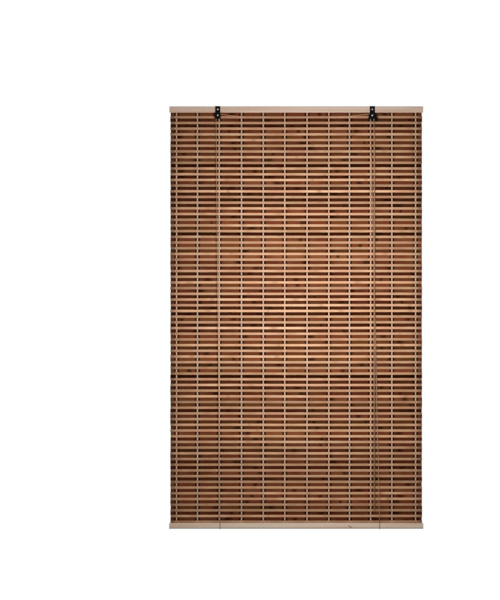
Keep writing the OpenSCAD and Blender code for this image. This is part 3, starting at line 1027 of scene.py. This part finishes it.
@dataclass(frozen=True)
class Twist:
    """How the plies of a cord lie: their number, the grooves between them and the length of a full turn."""

    plies: int = 3
    # Depth of the grooves, as a share of the cord's radius
    groove: float = 0.09
    lay_length: float = 9.0 * MM
    sides: int = 9
    # A cord that starts closer to the Y axis than this has its rings set out from X instead
    near_y: float = 0.9

    def rings(self, path: np.ndarray, radius: float) -> tuple[np.ndarray, np.ndarray]:
        """Shapes a twisted cord along a path.

        Args:
            path: Points along the middle of the cord.
            radius: Outer radius.

        Returns:
            The cord's rings, and for each of their points 1 on the back of a ply and 0 in a groove.
        """
        heading = np.gradient(path, axis=0)
        heading /= np.linalg.norm(heading, axis=1)[:, None]
        axis = (0.0, 1.0, 0.0) if abs(heading[0, 1]) < self.near_y else (1.0, 0.0, 0.0)
        across = np.empty_like(heading)
        across[0] = np.cross(heading[0], axis)
        across[0] /= np.linalg.norm(across[0])
        for i in range(1, len(path)):
            across[i] = across[i - 1] - heading[i] * (across[i - 1] @ heading[i])
            across[i] /= np.linalg.norm(across[i])
        upright = np.cross(heading, across)
        run = np.concatenate([[0], np.cumsum(np.linalg.norm(np.diff(path, axis=0), axis=1))])
        turn = np.arange(self.sides) * 2 * math.pi / self.sides
        twist = 2 * math.pi * self.plies / self.lay_length
        wave = np.cos(self.plies * turn[None, :] - twist * run[:, None])
        size = radius * (1 - self.groove * (1 - wave) / 2)
        rings = (path[:, None, :] + (size * np.cos(turn))[:, :, None] * across[:, None, :]
                 + (size * np.sin(turn))[:, :, None] * upright[:, None, :])
        return rings, (wave + 1) / 2


@dataclass
class CordRun:
    """One run of a twisted lift cord along its route, given in millimetres as in the part's source."""

    name: str
    route: tuple[Point, ...]
    far_end: FarEnd
    lay: Lay
    gathers: bool = False
    diameter: float = 2.0 * MM
    twist: Twist = Twist()
    step: float = 1.1 * MM

    def path(self) -> np.ndarray:
        """Rounds the route into one smooth line.

        Returns:
            Points along the middle of the cord, about a step apart.
        """
        route = np.array(self.route) * MM
        reach = np.linalg.norm(np.diff(route, axis=0), axis=1)
        slope = np.empty_like(route)
        slope[1:-1] = self.slopes(route, reach)
        slope[0] = (route[1] - route[0]) / reach[0]
        slope[-1] = (route[-1] - route[-2]) / reach[-1]
        points = [route[:1]]
        for i, length in enumerate(reach):
            t = np.linspace(0, 1, max(2, math.ceil(length / self.step)) + 1)[1:, None]
            points.append((2 * t**3 - 3 * t**2 + 1) * route[i] + (t**3 - 2 * t**2 + t) * length * slope[i]
                          + (3 * t**2 - 2 * t**3) * route[i + 1] + (t**3 - t**2) * length * slope[i + 1])
        return np.concatenate(points)

    @staticmethod
    def slopes(route: np.ndarray, reach: np.ndarray) -> np.ndarray:
        """Directions at the inner points of a route, where the nearer neighbour counts more.

        Args:
            route: The points.
            reach: Distances from each point to the next.

        Returns:
            One direction for each inner point.
        """
        before = (route[1:-1] - route[:-2]) / reach[:-1, None]
        after = (route[2:] - route[1:-1]) / reach[1:, None]
        share = (reach[:-1] / (reach[:-1] + reach[1:]))[:, None]
        return before * (1 - share) + after * share

    def build(self, material: bpy.types.Material,
              with_pieces: Sequence[bpy.types.Object] = ()) -> bpy.types.Object:
        """Builds the run.

        Args:
            material: The cord's finish.
            with_pieces: Pieces on the run; not used.

        Returns:
            The piece.
        """
        path = self.path()
        draft = MeshDraft(f"{self.name}_yarn")
        rings, ply = self.twist.rings(path, self.diameter / 2)
        pieces_on = list(with_pieces)
        if self.gathers:
            # The end above the wheel's height stays at its screw, and the rest from that height becomes a
            # piece of its own
            cut = int(np.argmax(path[:, 2] <= path[-1, 2]))
            pieces_on.append(self.tied_end(rings[:cut + 1], ply[:cut + 1], material))
            path, rings, ply = path[cut:], rings[cut:], ply[cut:]
        draft.tube(rings, ply=ply)
        piece = draft.piece(material)
        if self.gathers:
            gather(piece)
        else:
            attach(piece, Body.HEADRAIL.value)
        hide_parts(self.name)
        return piece

    def tied_end(self, rings: np.ndarray, ply: np.ndarray, material: bpy.types.Material) -> bpy.types.Object:
        """Builds the end of the cord that is tied to its screw on the headrail.

        Args:
            rings: Rings of the cord up to where it gathers.
            ply: Marks of the rings.
            material: The cord's finish.

        Returns:
            The piece.
        """
        draft = MeshDraft(f"{self.name}_tied_end")
        draft.tube(rings, ply=ply)
        piece = draft.piece(material)
        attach(piece, Body.HEADRAIL.value)
        return piece


@dataclass
class PullKnot:
    """The knot that ties the two pull cords: a coil of cord round both, with their cut ends below."""

    # Where the pull cords end, in millimetres as in their routes
    at: Point = (281.15, -19.9, -1395.0)
    turns: float = 2.6
    coil_radius: float = 2.35 * MM
    coil_height: float = 4.6 * MM
    # Shares of the coil's radius at its ends and added at its middle
    coil_swell: Pair = (0.72, 0.28)
    coil_steps: int = 110
    # How far below the pull cords' end the coil starts, as a share of the cord's radius
    coil_drop: float = 0.9
    tail_gap: float = 1.1 * MM
    tail_spread: float = 0.5
    tail_size: float = 0.97
    tail_steps: int = 40
    tail_lift: float = 0.2 * MM
    cord_radius: float = 1.0 * MM
    twist: Twist = Twist()
    node: str = "pull_knot"

    def build(self, material: bpy.types.Material) -> bpy.types.Object:
        """Builds the knot.

        Args:
            material: The cord's finish.

        Returns:
            The piece.
        """
        low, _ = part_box(self.node)
        middle = np.array(self.at) * MM
        top = middle[2] - self.cord_radius * self.coil_drop
        draft = MeshDraft("pull_cord_knot")
        share = np.linspace(0, 1, self.coil_steps)
        angle = 2 * math.pi * self.turns * share
        ends, middle_swell = self.coil_swell
        swell = self.coil_radius * (ends + middle_swell * np.sin(math.pi * share))
        coil = np.stack([middle[0] + swell * np.cos(angle), middle[1] + swell * np.sin(angle),
                         top - self.coil_height * share], axis=1)
        strands = [(coil, self.cord_radius)]
        drop = np.linspace(0, 1, self.tail_steps)
        bottom = low.z + self.tail_lift
        for way in (-1, 1):
            tail = np.stack([middle[0] + way * self.tail_gap * (1 + self.tail_spread * drop**2),
                             np.full(len(drop), middle[1]), middle[2] + (bottom - middle[2]) * drop], axis=1)
            strands.append((tail, self.cord_radius * self.tail_size))
        for path, radius in strands:
            rings, ply = self.twist.rings(path, radius)
            draft.tube(rings, ply=ply)
        piece = draft.piece(material)
        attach(piece, Body.HEADRAIL.value)
        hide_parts(self.node)
        return piece


# The loop of a lift cord under the bottom rail, in millimetres: depth and height, from the wall to the room
RAIL_LOOP = (
    (-2.6, -1475.0), (-2.9, -1479.5), (-4.0, -1483.0), (-6.0, -1486.2), (-8.6, -1488.4), (-11.5, -1489.1),
    (-12.4, -1489.1), (-14.8, -1488.4), (-16.6, -1486.6), (-17.2, -1484.2), (-17.2, -1476.0))
# Depths of the grooves of the front and the rear wheels, in millimetres
FRONT_Y = -17.6
REAR_Y = -13.3


@dataclass
class LiftCords:
    """The two cords of the blind, run by run, and the knot that joins their ends."""

    # Where the loops stand along the bottom rail, in millimetres
    left_loop_x: float = -266.0
    right_loop_x: float = 300.0

    def runs(self) -> tuple[CordRun, ...]:
        """Lists the runs with their routes.

        Returns:
            The two lift runs, the cross run and the two pull runs.
        """
        left_lift = (
            (-297.3, -6.7, 9.5), (-297.3, -6.7, 4.0), (-297.3, -5.6, 1.0), (-297.2, -3.6, -2.5),
            (-297.0, -2.6, -7.0), (-296.6, -2.6, -30.0), (-290.0, -2.6, -400.0), (-278.0, -2.6, -900.0),
            (-267.0, -2.6, -1380.0),
            *((self.left_loop_x, y, z) for y, z in RAIL_LOOP),
            (-266.1, -17.2, -1462.0), (-269.5, -17.3, -1100.0), (-273.5, -17.4, -700.0),
            (-276.9, -17.5, -350.0),
            (-279.7, FRONT_Y, -60.0), (-280.0, FRONT_Y, -34.0), (-280.0, FRONT_Y, -22.0))
        right_lift = (
            (297.3, -6.7, 9.5), (297.3, -6.7, 4.0), (297.3, -5.6, 1.0), (297.3, -3.6, -2.5),
            (297.3, -2.6, -7.0), (297.3, -2.6, -30.0), (298.0, -2.6, -400.0), (299.0, -2.6, -900.0),
            (300.0, -2.6, -1380.0),
            *((self.right_loop_x, y, z) for y, z in RAIL_LOOP),
            (299.7, -17.2, -1462.0), (296.7, -17.2, -1310.0), (292.0, -15.4, -1110.0),
            (284.0, -14.8, -750.0), (276.0, -14.2, -390.0),
            (269.0, -13.4, -80.0), (268.0, REAR_Y, -34.0), (268.0, REAR_Y, -22.0))
        cross = tuple((x, FRONT_Y, z) for x, z in (
            (-280.0, -22.0), (-280.0, -21.0), (-279.2, -18.0), (-277.0, -15.8), (-274.0, -15.0),
            (-270.0, -15.3), (-262.0, -16.6), (-245.0, -19.6), (-222.0, -22.6), (-190.0, -24.9),
            (-140.0, -26.2), (-70.0, -26.8), (0.0, -27.0), (70.0, -26.7), (140.0, -25.8), (190.0, -23.9),
            (222.0, -21.2), (245.0, -18.5), (262.0, -16.2), (270.0, -15.2), (274.0, -15.0), (277.0, -15.8),
            (279.2, -18.0), (280.0, -21.0), (280.0, -22.0)))
        front_pull = tuple((280.0, y, z) for y, z in (
            (FRONT_Y, -22.0), (FRONT_Y, -46.0), (-17.7, -140.0), (-18.2, -400.0), (-18.8, -750.0),
            (-19.4, -1100.0), (-19.9, -1380.0), (-19.9, -1395.0)))
        rear_pull = (
            *((x, REAR_Y, z) for x, z in (
                (268.0, -22.0), (268.0, -21.0), (268.8, -18.0), (271.0, -15.8), (274.0, -15.0),
                (277.0, -15.8), (279.2, -18.0), (280.0, -21.0), (280.0, -46.0))),
            (281.6, -14.9, -90.0),
            *((282.3, y, z) for y, z in (
                (-16.6, -140.0), (-17.7, -190.0), (-18.2, -400.0), (-18.8, -750.0), (-19.4, -1100.0),
                (-19.9, -1380.0), (-19.9, -1395.0))))
        return (CordRun("left_lift_cord", left_lift, FarEnd.OBJECT, Lay.TAUT, gathers=True),
                CordRun("right_lift_cord", right_lift, FarEnd.OBJECT, Lay.TAUT, gathers=True),
                CordRun("cross_cord", cross, FarEnd.OBJECT, Lay.HANGING),
                CordRun("front_pull_cord", front_pull, FarEnd.KNOT, Lay.HANGING),
                CordRun("rear_pull_cord", rear_pull, FarEnd.KNOT, Lay.HANGING))

    def build(self) -> list[bpy.types.Object]:
        """Builds the runs and the knot.

        Returns:
            The pieces.
        """
        lift_yarn, pull_yarn = LIFT_CORD_YARN.make(), PULL_CORD_YARN.make()
        knot = PullKnot().build(pull_yarn)
        made = [knot]
        for run in self.runs():
            yarn = pull_yarn if run.far_end is FarEnd.KNOT else lift_yarn
            made.append(run.build(yarn, [knot] if run.name == "front_pull_cord" else []))
        return made


@dataclass
class Hardware:
    """The rigid pieces whose solids stay as they are and get their finishes here."""

    def dress(self) -> None:
        """Gives every rigid node its finish."""
        finishes = {
            HEADRAIL_WOOD: ("headrail",),
            BOTTOM_RAIL_WOOD: ("bottom_rail",),
            BLACK_STEEL: ("left_bracket", "right_bracket", "lock_cam_pin"),
            ZINC: ("headrail_tacks", "bottom_rail_tacks", "bracket_screws", "left_axle", "right_axle",
                   "cord_anchor_screws"),
            WHEEL_PLASTIC: ("left_wheel", "right_front_wheel", "right_rear_wheel"),
            CAM_STEEL: ("lock_cam",),
        }
        for finish, nodes in finishes.items():
            material = finish.make()
            for name in nodes:
                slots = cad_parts[name].data.materials
                slots.clear()
                slots.append(material)
            log.info("%s on %s", finish.name, ", ".join(nodes))


@dataclass
class Studio:
    """Camera, light, floor and background."""

    frame_height_px: float = 600.0
    frame_centre_px: Pair = (250.0, 300.0)
    blind_centre_px: Pair = (296.3, 317.8)
    px_per_metre: float = 282.2
    distance: float = 7.0
    sensor: float = 36.0
    floor_drop: float = 0.9
    floor_half: float = 3.4
    floor_tones: tuple[Colour, ...] = screens((232, 231, 229), (238, 237, 236))
    floor_cloud: Point = (1.5, 1.5, 1.5)
    floor_roughness: float = 0.9
    floor_glow: float = 0.5
    fill: float = 0.125
    fill_colour: Colour = (1.0, 0.82, 0.69, 1.0)
    key_watts: float = 8.5
    key_size: Pair = (0.3, 0.9)
    key_at: Point = (0.05, -0.84, -0.63)
    rear_watts: float = 26.0
    rear_size: Pair = (1.2, 1.8)
    rear_at: Point = (0.0, 1.6, -0.7)

    def build(self) -> None:
        """Sets up the whole studio."""
        low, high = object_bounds()
        self.camera(low, high)
        self.floor(low.z - self.floor_drop)
        self.softbox("front_softbox", self.key_watts, self.key_size, self.key_at, Facing.WALL)
        self.softbox("rear_softbox", self.rear_watts, self.rear_size, self.rear_at, Facing.ROOM)
        self.world()
        bpy.context.scene.view_settings.view_transform = "Standard"

    def camera(self, low: Vector, high: Vector) -> None:
        """Places the camera straight in front, off to the side by as much as the photograph's framing.

        Args:
            low: Lowest corner of the blind.
            high: Highest corner of the blind.
        """
        lens = bpy.data.cameras.new("photo_camera")
        lens.sensor_width = self.sensor
        lens.lens = self.px_per_metre * self.distance * self.sensor / self.frame_height_px
        eye = bpy.data.objects.new("photo_camera", lens)
        aside = (self.blind_centre_px[0] - self.frame_centre_px[0]) / self.px_per_metre
        above = (self.blind_centre_px[1] - self.frame_centre_px[1]) / self.px_per_metre
        eye.location = ((low.x + high.x) / 2 - aside, low.y - self.distance, (low.z + high.z) / 2 + above)
        eye.rotation_euler = (math.radians(Facing.WALL.value), 0, 0)
        bpy.context.scene.collection.objects.link(eye)
        bpy.context.scene.camera = eye

    def floor(self, z: float) -> None:
        """Lays a pale floor below the blind.

        Args:
            z: Height of the floor.
        """
        mesh = bpy.data.meshes.new("floor")
        half = self.floor_half
        corners = [(-half, -half, z), (half, -half, z), (half, half, z), (-half, half, z)]
        mesh.from_pydata(corners, [], [(0, 1, 2, 3)])
        ground = bpy.data.objects.new("floor", mesh)
        shader = Shader("floor_paint")
        cloud = shader.noise(shader.point(self.floor_cloud), detail=2.0)
        shader.feed("Base Color", shader.ramp(cloud, self.floor_tones))
        shader.set(Roughness=self.floor_roughness)
        shader.surface.inputs["Emission Color"].default_value = WHITE
        seen = self.seen(shader.nodes, shader.links)
        shader.feed("Emission Strength", shader.math("MULTIPLY", seen, self.floor_glow))
        mesh.materials.append(shader.material)
        bpy.context.scene.collection.objects.link(ground)
        ground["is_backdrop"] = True

    @staticmethod
    def softbox(name: str, watts: float, size: Pair, at: Point, facing: Facing) -> None:
        """Hangs a soft light, which the camera doesn't see.

        Args:
            name: Name of the light.
            watts: Its power.
            size: Its width and height.
            at: Its middle.
            facing: Where it shines.
        """
        lamp = bpy.data.lights.new(name, "AREA")
        lamp.shape = "RECTANGLE"
        lamp.size, lamp.size_y = size
        lamp.energy = watts
        holder = bpy.data.objects.new(name, lamp)
        holder.location = at
        holder.rotation_euler = (math.radians(facing.value), 0, 0)
        holder.visible_camera = False
        bpy.context.scene.collection.objects.link(holder)

    def world(self) -> None:
        """Fills the room with even light, and shows white to the camera and in reflections."""
        world = bpy.data.worlds.new("white_room")
        bpy.context.scene.world = world
        world.use_nodes = True
        nodes, links = world.node_tree.nodes, world.node_tree.links
        light = nodes["Background"]
        light.inputs["Strength"].default_value = self.fill
        light.inputs["Color"].default_value = self.fill_colour
        shown = nodes.new("ShaderNodeBackground")
        shown.inputs["Color"].default_value = WHITE
        mix = nodes.new("ShaderNodeMixShader")
        links.new(self.seen(nodes, links), mix.inputs["Fac"])
        links.new(light.outputs["Background"], mix.inputs[1])
        links.new(shown.outputs["Background"], mix.inputs[2])
        links.new(mix.outputs["Shader"], nodes["World Output"].inputs["Surface"])

    @staticmethod
    def seen(nodes: bpy.types.Nodes, links: bpy.types.NodeLinks) -> Socket:
        """Marks what the camera sees, straight or in a reflection.

        Args:
            nodes: Nodes of the material or the world.
            links: Their links.

        Returns:
            A value that is 1 for such rays and 0 for the light that falls on the blind.
        """
        ray = nodes.new("ShaderNodeLightPath")
        seen = ray.outputs["Is Camera Ray"]
        for other in ("Is Glossy Ray", "Is Transmission Ray"):
            either = nodes.new("ShaderNodeMath")
            either.operation = "MAXIMUM"
            links.new(seen, either.inputs[0])
            links.new(ray.outputs[other], either.inputs[1])
            seen = either.outputs["Value"]
        return seen


def main() -> None:
    """Builds the studio and the pieces in order."""
    logging.basicConfig(level=logging.INFO, format="%(name)s: %(message)s")
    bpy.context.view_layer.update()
    Studio().build()
    pieces = LiftCords().build()
    mat = SlatMat()
    pieces += mat.build()
    pieces += WarpStrings(mat).build()
    Hardware().dress()
    for piece in pieces:
        log.info("%s is ready", piece.name)


if __name__ == "__main__":
    main()
